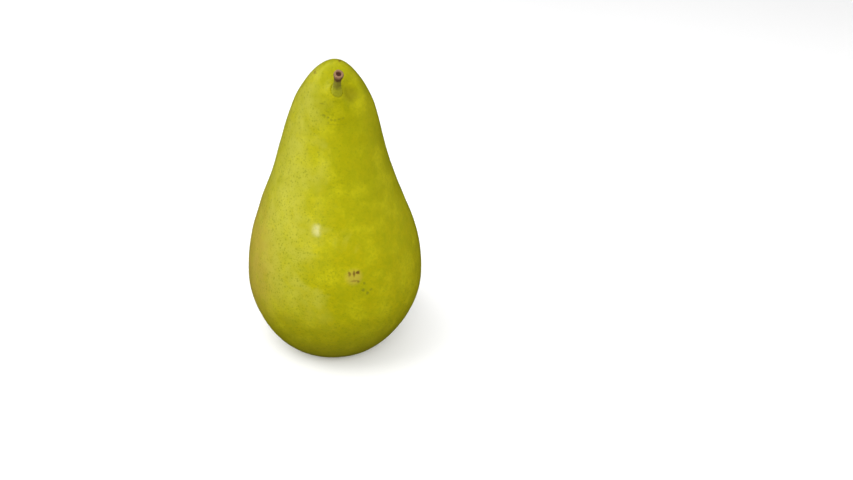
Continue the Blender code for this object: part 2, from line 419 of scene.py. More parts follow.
class NodeSheet:
    """Adds shader nodes to one new material and wires them together."""

    def __init__(self, name: str) -> None:
        """Starts a material that holds one Principled shader."""
        self.material = bpy.data.materials.new(name)
        self.material.use_nodes = True
        self.nodes = self.material.node_tree.nodes
        self.links = self.material.node_tree.links
        self.shader = self.nodes["Principled BSDF"]

    def set_input(self, node: bpy.types.Node, key: str | int, value: object) -> None:
        """Wires a socket to an input, or writes a value on it.

        Args:
            node: The node that has the input.
            key: The input's name or number.
            value: A socket, a number, a vector or a colour.
        """
        if isinstance(value, bpy.types.NodeSocket):
            self.links.new(value, node.inputs[key])
        elif isinstance(value, tuple) and len(value) == 3 and node.inputs[key].type == "RGBA":
            node.inputs[key].default_value = (*value, 1.0)
        else:
            node.inputs[key].default_value = value

    def add(self, kind: str, inputs: dict | None = None, **settings: object) -> bpy.types.Node:
        """Adds a node.

        Args:
            kind: The node's type, without the ShaderNode in front.
            inputs: What goes in each input, by name or number.
            **settings: The node's own settings.

        Returns:
            The new node.
        """
        node = self.nodes.new("ShaderNode" + kind)
        for key, value in settings.items():
            setattr(node, key, value)
        for key, value in (inputs or {}).items():
            self.set_input(node, key, value)
        return node

    def place(self) -> Socket:
        """Returns the point being shaded, in the frame's metres."""
        return self.add("TexCoord").outputs["Object"]

    def math(self, operation: str, first: object, second: object = 0.0) -> Socket:
        """Works on one or two numbers."""
        return self.add("Math", {0: first, 1: second}, operation=operation).outputs[0]

    def times(self, first: object, second: object) -> Socket:
        """Multiplies two numbers."""
        return self.math("MULTIPLY", first, second)

    def vector(self, operation: str, first: object, second: object = (0.0, 0.0, 0.0)) -> bpy.types.Node:
        """Works on one or two vectors."""
        return self.add("VectorMath", {0: first, 1: second}, operation=operation)

    def ease(self, value: object, low: float, high: float) -> Socket:
        """Eases a value from 0 at one limit to 1 at the other."""
        inputs = {"Value": value, "From Min": low, "From Max": high}
        return self.add("MapRange", inputs, interpolation_type="SMOOTHSTEP").outputs["Result"]

    def ramp(self, value: object, ramp: Ramp) -> Socket:
        """Eases a value along a ramp, times the ramp's share."""
        return self.math("MULTIPLY", self.ease(value, ramp.start, ramp.full), ramp.share)

    def grain(self, place: object, grain: Grain) -> Socket:
        """Reads a layer of cloudy noise, from 0 to its share."""
        noise_value = self.lumps(place, grain.size, grain.detail, grain.warp)
        return self.ramp(noise_value, Ramp(grain.low, grain.high, grain.share))

    def lumps(self, place: object, size: float, detail: float = 3.0, warp: float = 0.0) -> Socket:
        """Reads cloudy noise.

        Args:
            place: Where to read it.
            size: The size of a lump, in metres.
            detail: How many finer layers are added.
            warp: How far the lumps are distorted.

        Returns:
            A value from 0 to 1, near 0.5 on average.
        """
        inputs = {"Vector": place, "Scale": 1.0 / size, "Detail": detail, "Distortion": warp}
        return self.add("TexNoise", inputs).outputs["Fac"]

    def dots(self, place: object, size: float) -> bpy.types.Node:
        """Returns a cell node whose distance is 0 at points about a size apart."""
        return self.add("TexVoronoi", {"Vector": place, "Scale": 1.0 / size}, feature="F1")

    def blend(self, share: object, below: object, above: object, mode: str = "MIX") -> Socket:
        """Lays one colour over another.

        Args:
            share: How much of the upper colour shows.
            below: The lower colour.
            above: The upper colour.
            mode: The way that they mix.

        Returns:
            The mixed colour.
        """
        node = self.add("Mix", data_type="RGBA", blend_type=mode)
        self.set_input(node, 0, share)
        self.set_input(node, 6, below)
        self.set_input(node, 7, above)
        return node.outputs[2]

    def spot(self, place: object, middle: Vector, size: Triple) -> Socket:
        """Marks a soft oval patch.

        Args:
            place: Where to read it.
            middle: The middle of the patch.
            size: The patch's half sizes along X, Y and Z.

        Returns:
            1 in the middle, falling to 0 at the edge.
        """
        away = self.vector("SUBTRACT", place, tuple(middle)).outputs[0]
        scaled = self.vector("DIVIDE", away, size).outputs[0]
        length = self.vector("LENGTH", scaled).outputs["Value"]
        return self.ease(length, 1.0, SPOT_CORE)

    def bump(self, height: object, depth: float, under: object = None) -> Socket:
        """Turns a height from 0 to 1 into a surface that is depth metres deep."""
        inputs = {"Height": height, "Distance": depth, "Strength": 1.0}
        if under is not None:
            inputs["Normal"] = under
        return self.add("Bump", inputs).outputs["Normal"]

    def finish(self, **inputs: object) -> bpy.types.Material:
        """Sets the shader's inputs, with _ for a space in a name, and returns the material."""
        for key, value in inputs.items():
            self.set_input(self.shader, key.replace("_", " "), value)
        return self.material


@dataclass(frozen=True)
class SkinFinish:
    """Waxy yellow-green skin with dots, clouds, a blush and small stains, with painted shade low down and
    in the crown's hollow, and a painted sheen on one flank.
    """

    ripe: Color = (0.350, 0.314, 0.0004)
    green: Color = (0.262, 0.273, 0.0004)
    pale: Color = (0.440, 0.410, 0.004)
    # Pale layer on one flank: partly the skin's waxy haze, partly a painted sheen.
    bloom_and_sheen: Color = (0.390, 0.378, 0.038)
    blush: Color = (0.370, 0.270, 0.038)
    dot: Color = (0.165, 0.190, 0.001)
    russet: Color = (0.23, 0.115, 0.03)
    stain: Color = (0.16, 0.085, 0.012)
    # The colour of the painted shade, laid low down on the fruit and in the crown's hollow.
    deep: Color = (0.215, 0.195, 0.003)
    sheen_tint: Color = (1.0, 0.97, 0.22)
    rubbed_place: tuple[float, float] = (-12.0, 0.0626)
    rubbed_size: Triple = (0.0046, 0.0040, 0.0028)
    # Where, how wide and how strongly shade is painted into the crown's hollow.
    hollow_side: float = 0.0046
    hollow_back: float = -0.0030
    hollow_shade_size: Triple = (0.0050, 0.0034, 0.0036)
    hollow_shade_share: float = 0.62
    broad_cloud: Grain = Grain(0.022, 0.40, 0.66, 3.0, 0.4, 0.22)
    small_cloud: Grain = Grain(0.0030, 0.38, 0.66, 3.0, 0.1, 0.50)
    pale_cloud: Grain = Grain(0.0065, 0.42, 0.72, 4.0, 0.1, 0.60)
    pale_shift: Triple = (0.31, 0.17, 0.05)
    fine_cloud: Grain = Grain(0.0010, 0.40, 0.66, 2.0, 0.0, 0.42)
    neck: Ramp = Ramp(0.045, 0.085, 0.34)
    # Painted shade: the skin is darkened towards the bottom of the fruit.
    painted_low_shade: Ramp = Ramp(0.026, 0.001, 0.85)
    # The flank's pale layer, partly wax and partly painted sheen: its ragged edge, side, height and
    # patches.
    bloom_sheen_edge_size: float = 0.012
    bloom_sheen_edge_reach: float = 0.05
    bloom_sheen_side: Ramp = Ramp(-0.001, -0.013)
    bloom_sheen_height: Ramp = Ramp(0.020, 0.045)
    bloom_sheen_patches: Grain = Grain(0.0040, 0.20, 0.70, 4.0, 0.1, 0.45)
    bloom_sheen_least: float = 0.25
    blush_place: tuple[float, float] = (-80.0, 0.040)
    blush_size: Triple = (0.021, 0.030, 0.038)
    blush_patches: Grain = Grain(0.005, 0.05, 0.65, 5.0, 0.5)
    blush_share: float = 0.72
    dotted_side: Ramp = Ramp(0.018, -0.016)
    dotted_low: Ramp = Ramp(0.045, 0.020)
    dotted_least: float = 0.35
    dot_patches: Grain = Grain(0.011, 0.20, 0.52, 2.0)
    dot_layers: tuple[DotLayer, ...] = (DotLayer(0.00135, 0.48, 0.42), DotLayer(0.0008, 0.52, 0.32))
    dot_core: float = 0.45
    dot_ragged_size: float = 0.0006
    dot_ragged_share: float = 0.22
    russet_patches: Grain = Grain(0.0012, 0.36, 0.62, 5.0, 0.3)
    russet_size: Triple = (0.0095, 0.0095, 0.0085)
    stem_stain_size: Triple = (0.0042, 0.0042, 0.0042)
    stem_stain_share: float = 0.12
    torn_scale: float = 900.0
    torn_reach: float = 0.0010
    mark_extra_depth: float = 0.0006
    peel_size: float = 0.0011
    peel_depth: float = 0.00003
    wave_size: float = 0.0045
    wave_depth: float = 0.00012
    roughness: float = 0.37
    dull_patches: Grain = Grain(0.004, 0.2, 0.8, 4.0, 0.0, 0.10)
    specular: float = 0.5
    coat: float = 0.01
    rubbed_coat: float = 0.40
    coat_roughness: float = 0.20

    def clouds(self, sheet: NodeSheet, place: object) -> Socket:
        """Mixes the ripe, green and pale grounds of the skin, and darkens it towards the bottom with
        painted shade.
        """
        height = sheet.add("SeparateXYZ", {0: place}).outputs["Z"]
        greening = sheet.math("ADD", sheet.grain(place, self.broad_cloud), sheet.ramp(height, self.neck))
        color = sheet.blend(greening, self.ripe, self.green)
        color = sheet.blend(sheet.grain(place, self.small_cloud), color, self.green)
        shifted = sheet.vector("ADD", place, self.pale_shift).outputs[0]
        color = sheet.blend(sheet.grain(shifted, self.pale_cloud), color, self.pale)
        color = sheet.blend(sheet.grain(place, self.fine_cloud), color, self.green)
        # Painted shade: darker towards the bottom of the fruit.
        return sheet.blend(sheet.ramp(height, self.painted_low_shade), color, self.deep)

    def lay_bloom_and_sheen(self, sheet: NodeSheet, place: object, color: object) -> Socket:
        """Lays a pale, waxy layer with a ragged edge on one flank: partly the skin's dull wax, partly a
        painted sheen of the light from that side.
        """
        axes = sheet.add("SeparateXYZ", {0: place}).outputs
        uneven = sheet.math("SUBTRACT", sheet.lumps(place, self.bloom_sheen_edge_size, 5.0, 0.5), 0.5)
        ragged = sheet.times(uneven, self.bloom_sheen_edge_reach)
        flank = sheet.ramp(sheet.math("ADD", axes["X"], ragged), self.bloom_sheen_side)
        patchy = sheet.math("ADD", sheet.grain(place, self.bloom_sheen_patches), self.bloom_sheen_least)
        share = sheet.times(flank, patchy)
        share = sheet.times(share, sheet.ramp(axes["Z"], self.bloom_sheen_height))
        # Painted sheen: the pale layer is strongest on the flank that faces the light.
        return sheet.blend(share, color, self.bloom_and_sheen)

    def blushed(
        self, sheet: NodeSheet, place: object, color: object, form: PearForm
    ) -> Socket:
        """Lays the warm blush on the flank that faced the sun."""
        flank = sheet.spot(place, form.skin_point(*self.blush_place), self.blush_size)
        share = sheet.times(flank, sheet.grain(place, self.blush_patches))
        return sheet.blend(sheet.times(share, self.blush_share), color, self.blush)

    def dotted(self, sheet: NodeSheet, place: object, color: object) -> Socket:
        """Scatters the breathing dots of the skin."""
        axes = sheet.add("SeparateXYZ", {0: place}).outputs
        side = sheet.ramp(axes["X"], self.dotted_side)
        low = sheet.ramp(axes["Z"], self.dotted_low)
        spread = sheet.math("ADD", sheet.math("MAXIMUM", side, low), self.dotted_least)
        patchy = sheet.times(sheet.grain(place, self.dot_patches), spread)
        uneven = sheet.lumps(place, self.dot_ragged_size, 2.0)
        wobble = sheet.times(uneven, self.dot_ragged_share)
        for layer in self.dot_layers:
            far = sheet.math("ADD", sheet.dots(place, layer.spacing).outputs["Distance"], wobble)
            dots = sheet.times(sheet.ease(far, layer.width, layer.width * self.dot_core), patchy)
            color = sheet.blend(sheet.times(dots, layer.share), color, self.dot)
        return color

    def russeted(
        self, sheet: NodeSheet, place: object, color: object, form: PearForm, seat: Vector
    ) -> Socket:
        """Browns the skin around the eye and the stem, and paints shade into the crown's hollow."""
        eye = Vector((-float(form.sway_at(np.array(0.0))), 0.0, form.eye_depth))
        ragged = sheet.grain(place, self.russet_patches)
        around_eye = sheet.spot(place, eye, self.russet_size)
        color = sheet.blend(sheet.times(around_eye, ragged), color, self.russet)
        # Painted shade: a darker patch laid into the crown's hollow beside the stem.
        hollow = Vector(form.grow(np.array((self.hollow_side, self.hollow_back, form.crown.height))))
        shaded = sheet.spot(place, hollow, self.hollow_shade_size)
        color = sheet.blend(sheet.times(shaded, self.hollow_shade_share), color, self.deep)
        stained = sheet.times(sheet.spot(place, seat, self.stem_stain_size), ragged)
        return sheet.blend(sheet.times(stained, self.stem_stain_share), color, self.stain)

    def stained(
        self, sheet: NodeSheet, place: object, color: object, form: PearForm, marks: tuple[Mark, ...]
    ) -> Socket:
        """Adds the small scars and specks that this fruit has picked up."""
        uneven = sheet.add("TexNoise", {"Vector": place, "Scale": self.torn_scale}).outputs["Color"]
        rough = sheet.vector("SCALE", uneven)
        rough.inputs["Scale"].default_value = self.torn_reach
        torn = sheet.vector("ADD", place, rough.outputs[0]).outputs[0]
        shift = Vector((self.torn_reach, self.torn_reach, self.torn_reach)) / 2
        for mark in marks:
            middle = form.skin_point(mark.azimuth, mark.height) + shift
            size = (mark.width / 2, mark.width / 2 + self.mark_extra_depth, mark.tall / 2)
            share = sheet.times(sheet.spot(torn, middle, size), mark.strength)
            color = sheet.blend(share, color, mark.color)
        return color

    def make(self, form: PearForm, seat: Vector, halo: Mark, marks: tuple[Mark, ...]) -> bpy.types.Material:
        """Makes the skin.

        Args:
            form: The flesh's form, which places the blush and the stains.
            seat: Where the stem stands.
            halo: The pale, tanned patch around the largest scar.
            marks: The small stains.

        Returns:
            The material.
        """
        sheet = NodeSheet("pear_skin")
        place = sheet.place()
        color = self.clouds(sheet, place)
        color = self.lay_bloom_and_sheen(sheet, place, color)
        color = self.blushed(sheet, place, color, form)
        color = self.dotted(sheet, place, color)
        color = self.russeted(sheet, place, color, form, seat)
        halo_size = (halo.width / 2, halo.width / 2, halo.tall / 2)
        tan = sheet.spot(place, form.skin_point(halo.azimuth, halo.height), halo_size)
        color = sheet.blend(sheet.times(tan, halo.strength), color, halo.color)
        color = self.stained(sheet, place, color, form, marks)
        peel = sheet.bump(sheet.lumps(place, self.peel_size, 3.0), self.peel_depth)
        waves = sheet.bump(sheet.lumps(place, self.wave_size, 2.0), self.wave_depth, under=peel)
        roughness = sheet.math("ADD", sheet.grain(place, self.dull_patches), self.roughness)
        rubbed = sheet.spot(place, form.skin_point(*self.rubbed_place), self.rubbed_size)
        polish = sheet.math("ADD", sheet.times(rubbed, self.rubbed_coat), self.coat)
        return sheet.finish(
            Base_Color=color,
            Roughness=roughness,
            Normal=waves,
            Specular_IOR_Level=self.specular,
            Specular_Tint=(*self.sheen_tint, 1.0),
            Coat_Weight=polish,
            Coat_Roughness=self.coat_roughness,
        )


@dataclass(frozen=True)
class BarkFinish:
    """Bark that is fleshy green at the foot and pinkish brown at the knob."""

    foot: Color = (0.34, 0.34, 0.008)
    olive: Color = (0.23, 0.22, 0.012)
    brown: Color = (0.13, 0.062, 0.022)
    knob: Color = (0.240, 0.135, 0.072)
    pith: Color = (0.060, 0.018, 0.008)
    ragged_size: float = 0.0013
    ragged_reach: float = 0.22
    to_olive: Ramp = Ramp(0.24, 0.50)
    to_brown: Ramp = Ramp(0.62, 0.80)
    to_knob: Ramp = Ramp(0.87, 0.96)
    streaks: Grain = Grain(0.0005, 0.42, 0.68, 4.0)
    streaked: Ramp = Ramp(0.25, 0.70)
    streak_share: float = 0.42
    pith_edge: tuple[float, float] = (1.30, 0.85)
    pith_end: Ramp = Ramp(0.90, 0.94)
    fibre_size: float = 0.00035
    fibre_depth: float = 0.00006
    roughness: float = 0.68
    specular: float = 0.3

    def make(
        self, foot: Vector, direction: Vector, length: float, pith_radius: float
    ) -> bpy.types.Material:
        """Makes the bark.

        Args:
            foot: The middle of the stem's foot.
            direction: The way that the stem points.
            length: The stem's length.
            pith_radius: The radius of the sunken end.

        Returns:
            The material.
        """
        sheet = NodeSheet("stem_bark")
        place = sheet.place()
        away = sheet.vector("SUBTRACT", place, tuple(foot)).outputs[0]
        along = sheet.vector("DOT_PRODUCT", away, tuple(direction)).outputs["Value"]
        share = sheet.math("DIVIDE", along, length)
        uneven = sheet.math("SUBTRACT", sheet.lumps(place, self.ragged_size, 4.0), 0.5)
        ragged_share = sheet.math("ADD", share, sheet.times(uneven, self.ragged_reach))
        color = sheet.blend(sheet.ramp(ragged_share, self.to_olive), self.foot, self.olive)
        color = sheet.blend(sheet.ramp(ragged_share, self.to_brown), color, self.brown)
        color = sheet.blend(sheet.ramp(ragged_share, self.to_knob), color, self.knob)
        high = sheet.ramp(ragged_share, self.streaked)
        streaked = sheet.times(sheet.grain(place, self.streaks), high)
        color = sheet.blend(sheet.times(streaked, self.streak_share), color, self.brown)
        across = sheet.vector("CROSS_PRODUCT", away, tuple(direction)).outputs[0]
        radius = sheet.vector("LENGTH", across).outputs["Value"]
        outer, inner = self.pith_edge
        inside = sheet.ease(radius, pith_radius * outer, pith_radius * inner)
        color = sheet.blend(sheet.times(inside, sheet.ramp(share, self.pith_end)), color, self.pith)
        fibres = sheet.bump(sheet.lumps(place, self.fibre_size, 4.0), self.fibre_depth)
        return sheet.finish(
            Base_Color=color, Roughness=self.roughness, Normal=fibres, Specular_IOR_Level=self.specular
        )


@dataclass(frozen=True)
class DryFinish:
    """Dry, papery plant matter: sepals and old stamens."""

    name: str
    light: Color
    dark: Color
    vein: float
    blotches: Grain = Grain(0.0014, 0.32, 0.68, 5.0, 0.4)
    squeeze: Triple = (3.0, 3.0, 1.0)
    dark_veins: Ramp = Ramp(0.45, 0.7, 0.4)
    ridge_depth: float = 0.00008
    roughness: float = 0.88
    specular: float = 0.2

    def make(self) -> bpy.types.Material:
        """Makes the dry finish."""
        sheet = NodeSheet(self.name)
        place = sheet.place()
        color = sheet.blend(sheet.grain(place, self.blotches), self.light, self.dark)
        fibre = sheet.lumps(sheet.vector("MULTIPLY", place, self.squeeze).outputs[0], self.vein, 4.0)
        color = sheet.blend(sheet.ramp(fibre, self.dark_veins), color, self.dark)
        ridges = sheet.bump(fibre, self.ridge_depth)
        return sheet.finish(
            Base_Color=color, Roughness=self.roughness, Normal=ridges, Specular_IOR_Level=self.specular
        )


@dataclass(frozen=True)
class FloorFinish:
    """Plain, pale, matte floor."""

    color: Color = (0.93, 0.93, 0.93)
    lighter: Color = (0.94, 0.94, 0.94)
    patch_size: float = 0.20
    roughness: float = 0.9
    specular: float = 0.1

    def make(self) -> bpy.types.Material:
        """Makes the floor's finish."""
        sheet = NodeSheet("pale_floor")
        tone = sheet.blend(sheet.lumps(sheet.place(), self.patch_size, 2.0), self.color, self.lighter)
        return sheet.finish(Base_Color=tone, Roughness=self.roughness, Specular_IOR_Level=self.specular)


@dataclass
class Flesh:
    """The flesh with its skin, from the crown to the eye."""

    form: PearForm
    seat: StemSeat
    columns: int = 300
    reliefs: tuple[Relief, ...] = (
        Relief(0.021, 3.7, 0.00034),
        Relief(0.0068, 9.1, 0.00010),
        Relief(0.0019, 5.3, 0.000022),
    )
    rim_fade: float = 0.008
    seat_radius: float = 0.0020
    seat_edge: float = 0.0004
    seat_drop: float = 0.0009
    collar_rise: float = 0.00015
    collar_radius: float = 0.0028
    web_rise: float = 0.0016
    web_spread: float = 0.0013
    web_turn: float = math.radians(-125.0)
    web_sharpness: float = 1.5
    collar_lumps: Relief = Relief(0.0016, 2.2, 0.6)
    seat_reach: float = 0.0056
    eye_folds: int = 5
    eye_fold_depth: float = 0.00035
    eye_fade: float = 0.003
    eye_relief: float = 0.35
    dents: tuple[Dent, ...] = (
        Dent(-90.0, 0.0735, 0.00020, 0.0065),
        Dent(-92.0, 0.0550, 0.00025, 0.0050),
        Dent(10.0, 0.1030, 0.00018, 0.0040),
        Dent(-20.0, 0.1065, 0.00020, 0.0030),
        Dent(55.0, 0.0640, 0.00030, 0.0080),
        Dent(150.0, 0.0520, 0.00035, 0.0070),
    )
    halo: Mark = Mark(12.0, 0.0468, 0.0080, 0.0078, 0.60, (0.40, 0.31, 0.045))
    marks: tuple[Mark, ...] = (
        Mark(15.0, 0.0482, 0.0020, 0.0018, 1.0),
        Mark(12.3, 0.0480, 0.0013, 0.0030, 0.80),
        Mark(9.4, 0.0480, 0.0013, 0.0026, 0.70),
        Mark(12.4, 0.0453, 0.0042, 0.0012, 0.45),
        Mark(14.8, 0.0450, 0.0014, 0.0014, 0.60),
        Mark(18.5, 0.0440, 0.0013, 0.0012, 0.50, FLECK),
        Mark(17.5, 0.0415, 0.0016, 0.0018, 0.55, FLECK),
        Mark(20.0, 0.0400, 0.0013, 0.0020, 0.55, FLECK),
        Mark(22.5, 0.0410, 0.0012, 0.0013, 0.45, FLECK),
        Mark(-21.0, 0.1066, 0.0018, 0.0012, 0.55, FLECK),
        Mark(-12.0, 0.1062, 0.0014, 0.0012, 0.45, FLECK),
        Mark(-6.0, 0.1056, 0.0012, 0.0010, 0.40, FLECK),
        Mark(1.0, 0.1056, 0.0013, 0.0011, 0.45, FLECK),
        Mark(8.0, 0.1058, 0.0012, 0.0010, 0.40, FLECK),
        Mark(15.0, 0.1060, 0.0012, 0.0010, 0.35, FLECK),
        Mark(-10.0, 0.1046, 0.0014, 0.0012, 0.35, FLECK),
        Mark(-4.0, 0.1040, 0.0100, 0.0005, 0.22, FLECK),
        Mark(-33.0, 0.1094, 0.0020, 0.0006, 0.50, FLECK),
        Mark(-17.0, 0.1080, 0.0010, 0.0010, 0.35, FLECK),
        Mark(167.0, 0.1112, 0.0014, 0.0014, 0.7),
        Mark(-114.0, 0.1103, 0.0024, 0.0010, 0.50),
        Mark(105.0, 0.1026, 0.0016, 0.0016, 0.85),
        Mark(-140.0, 0.0600, 0.0014, 0.0010, 0.5),
        Mark(160.0, 0.0420, 0.0012, 0.0016, 0.5),
    )

    def straight(self) -> np.ndarray:
        """Returns the straight-grown rings, crown first."""
        outline = self.form.outline()
        turn = np.arange(self.columns) * math.tau / self.columns
        radius = outline[:, 0][:, None]
        height = np.repeat(outline[:, 1][:, None], self.columns, axis=1)
        return np.stack((radius * np.sin(turn), -radius * np.cos(turn), height), axis=-1)

    def outward(self, rings: np.ndarray) -> np.ndarray:
        """Works out which way the skin faces.

        Args:
            rings: Points as (ring, place in the ring, xyz).

        Returns:
            A unit vector for each point.
        """
        down = np.gradient(rings, axis=0)
        around = np.roll(rings, -1, axis=1) - np.roll(rings, 1, axis=1)
        facing = np.cross(down, around)
        facing[0] = facing[1].mean(axis=0)
        facing[-1] = facing[-2].mean(axis=0)
        return facing / np.maximum(np.linalg.norm(facing, axis=-1, keepdims=True), 1e-12)

    def relief(self, rings: np.ndarray, straight: np.ndarray) -> np.ndarray:
        """Works out how far the skin stands proud of the even form.

        Args:
            rings: The even form's points.
            straight: The same points as they would be on a straight pear.

        Returns:
            The rise at each point, in metres.
        """
        rise = np.zeros(rings.shape[:-1])
        for relief in self.reliefs:
            rise += relief.depth * noise_at(rings, relief.size, relief.seed)
        for dent in self.dents:
            middle = np.array(self.form.skin_point(dent.azimuth, dent.height))
            distance = np.linalg.norm(rings - middle, axis=-1)
            rise -= dent.depth * np.exp(-((distance / dent.spread) ** 2))
        height = straight[..., 2]
        radius = np.hypot(straight[..., 0], straight[..., 1])
        middle_of_rim = (self.form.rim_inner.radius + self.form.rim_outer.radius) / 2
        in_eye = (radius < middle_of_rim) & (height <= self.form.eye_depth)
        outside = smooth_step(0.0, self.rim_fade, height)
        rise *= np.where(in_eye, self.eye_relief * smooth_step(0.0, self.eye_fade, height), outside)
        azimuth = np.arctan2(straight[..., 0], -straight[..., 1])
        folded = in_eye * smooth_step(0.0, self.eye_fade, height) * smooth_step(0.0, self.eye_fade, radius)
        return rise + self.eye_fold_depth * folded * np.cos(self.eye_folds * azimuth)

    def seat_shift(self, rings: np.ndarray) -> np.ndarray:
        """Sinks the skin under the stem's foot and raises a soft collar around it.

        Args:
            rings: The points of the skin.

        Returns:
            How far each point moves along the stem.
        """
        foot = np.array(self.seat.foot(self.form))
        direction = np.array(self.seat.direction())
        away = rings - foot
        along = away @ direction
        distance = np.linalg.norm(away - along[..., None] * direction, axis=-1)
        near = np.abs(along) < self.seat_reach
        inner = self.seat_radius - self.seat_edge
        drop = self.seat_drop * (1.0 - smooth_step(inner, self.seat_radius + self.seat_edge, distance))
        spread = self.collar_radius - self.seat_radius
        collar = self.collar_rise * np.exp(-(((distance - self.collar_radius) / spread) ** 2))
        lumps = self.collar_lumps
        collar *= 1.0 + lumps.depth * noise_at(rings, lumps.size, lumps.seed)
        around = np.arctan2(away[..., 0], -away[..., 1])
        webbed = ((1.0 + np.cos(around - self.web_turn)) / 2) ** self.web_sharpness
        past = np.maximum(distance - self.seat_radius, 0.0)
        web = self.web_rise * webbed * np.exp(-past / self.web_spread) * (distance > inner)
        return np.where(near, web + collar - drop * (1.0 - webbed), 0.0)

    def build(self, skin: SkinFinish) -> bpy.types.Object:
        """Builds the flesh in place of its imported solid.

        Args:
            skin: The finish of the skin.

        Returns:
            The finished piece.
        """
        straight = self.straight()
        rings = self.form.grow(straight)
        rise = self.relief(rings, straight)
        rings = rings + self.outward(rings) * rise[..., None]
        rings = rings + self.seat_shift(rings)[..., None] * np.array(self.seat.direction())
        rings[0] = rings[0].mean(axis=0)
        rings[-1] = rings[-1].mean(axis=0)
        mesh = sheet_mesh("pear_flesh", rings, first_pole=True, last_pole=True)
        material = skin.make(self.form, self.seat.foot(self.form), self.halo, self.marks)
        piece = add_piece("pear_flesh", mesh, material)
        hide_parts("fruit")
        return piece


@dataclass
class Stem:
    """The short stem: fleshy foot, thin waist and a knob with a sunken end."""

    form: PearForm
    seat: StemSeat
    base_radius: float = 0.0021
    waist_radius: float = 0.0011
    knob_radius: float = 0.0016
    pith_radius: float = 0.0008
    pith_depth: float = 0.0006
    length: float = 0.0110
    rows: int = 110
    columns: int = 56
    ridges: int = 5
    ridge_depth: float = 0.00004
    ridge_twist: float = 5.0
    lumps: tuple[Relief, ...] = (Relief(0.0012, 4.4, 0.00009), Relief(0.0005, 8.8, 0.000045))
    end_lumps: Relief = Relief(0.0008, 6.1, 0.000036)
    end_fade: tuple[float, float] = (0.80, 0.95)
    seat_fade: float = 0.08
    foot_fade: float = 0.30
    foot_power: float = 1.3
    knob_place: float = 0.93
    knob_fade: float = 0.13
    lip_radius: float = 0.86
    lip_share: float = 0.03
    lip_points: int = 8
    lip_width: float = 0.0002
    pith_step: float = 0.0001
    pith_floor: tuple[tuple[float, float], ...] = ((0.0, 1.0), (0.35, 0.6), (0.8, 0.0))
    pith_flare: float = 1.08
    foot_shares: Triple = (0.93, 0.5, 0.0)
    side_shares: tuple[float, float] = (0.965, 0.015)

    def radius_at(self, share: np.ndarray) -> np.ndarray:
        """Returns the even radius at shares of the length."""
        fading = (share / self.foot_fade) ** self.foot_power
        foot = (self.base_radius - self.waist_radius) * np.exp(-fading)
        from_knob = (share - self.knob_place) / self.knob_fade
        knob = (self.knob_radius - self.waist_radius) * np.exp(-(from_knob**2))
        return self.waist_radius + foot + knob

    def outline(self) -> np.ndarray:
        """Returns radius and height from the pith down the side to the foot."""
        step = self.pith_step
        start = self.knob_radius * self.lip_radius - self.lip_width
        lip_reach = float(self.radius_at(np.array(1.0 - self.lip_share))) - start
        floor = self.length - self.pith_depth
        pith = [(share * self.pith_radius, floor + rise * step) for share, rise in self.pith_floor]
        wall = [(self.pith_radius, floor + step), (self.pith_radius * self.pith_flare, self.length - step)]
        drop = self.lip_share * self.length
        lip = [
            (start + lip_reach * math.sin(angle), self.length - drop * (1.0 - math.cos(angle)))
            for angle in np.linspace(0.0, math.pi / 2, self.lip_points)
        ]
        shares = np.linspace(*self.side_shares, self.rows)
        side = list(zip(self.radius_at(shares), shares * self.length))
        foot = [(share * self.base_radius, 0.0) for share in self.foot_shares]
        return np.array(pith + wall + lip + side + foot)

    def build(self, bark: BarkFinish) -> bpy.types.Object:
        """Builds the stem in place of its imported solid.

        Args:
            bark: The finish of the bark.

        Returns:
            The finished piece.
        """
        outline = self.outline()
        turn = -np.arange(self.columns) * math.tau / self.columns
        radius = outline[:, 0][:, None]
        height = np.repeat(outline[:, 1][:, None], self.columns, axis=1)
        share = height / self.length
        flat = np.zeros_like(height)
        side = np.stack((np.cos(turn) + flat, np.sin(turn) + flat, flat), axis=-1)
        rings = side * radius[..., None]
        rings[..., 2] = height
        proud = self.ridge_depth * np.cos(self.ridges * turn + self.ridge_twist * share)
        for lump in self.lumps:
            proud += lump.depth * noise_at(rings, lump.size, lump.seed)
        proud *= smooth_step(0.0, self.pith_radius, radius) * smooth_step(0.0, self.seat_fade, share)
        rings = rings + side * proud[..., None]
        end = self.end_lumps
        at_end = smooth_step(*self.end_fade, share)
        rings[..., 2] += end.depth * noise_at(rings, end.size, end.seed) * at_end
        rings[0] = rings[0].mean(axis=0)
        rings[-1] = rings[-1].mean(axis=0)
        direction = self.seat.direction()
        foot = self.seat.foot(self.form)
        turned = np.array(direction.to_track_quat("Z", "Y").to_matrix())
        rings = rings @ turned.T + np.array(foot)
        mesh = sheet_mesh("woody_stem", rings[:, ::-1], first_pole=True, last_pole=True)
        material = bark.make(foot, direction, self.length, self.pith_radius)
        piece = add_piece("woody_stem", mesh, material)
        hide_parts("stem")
        return piece


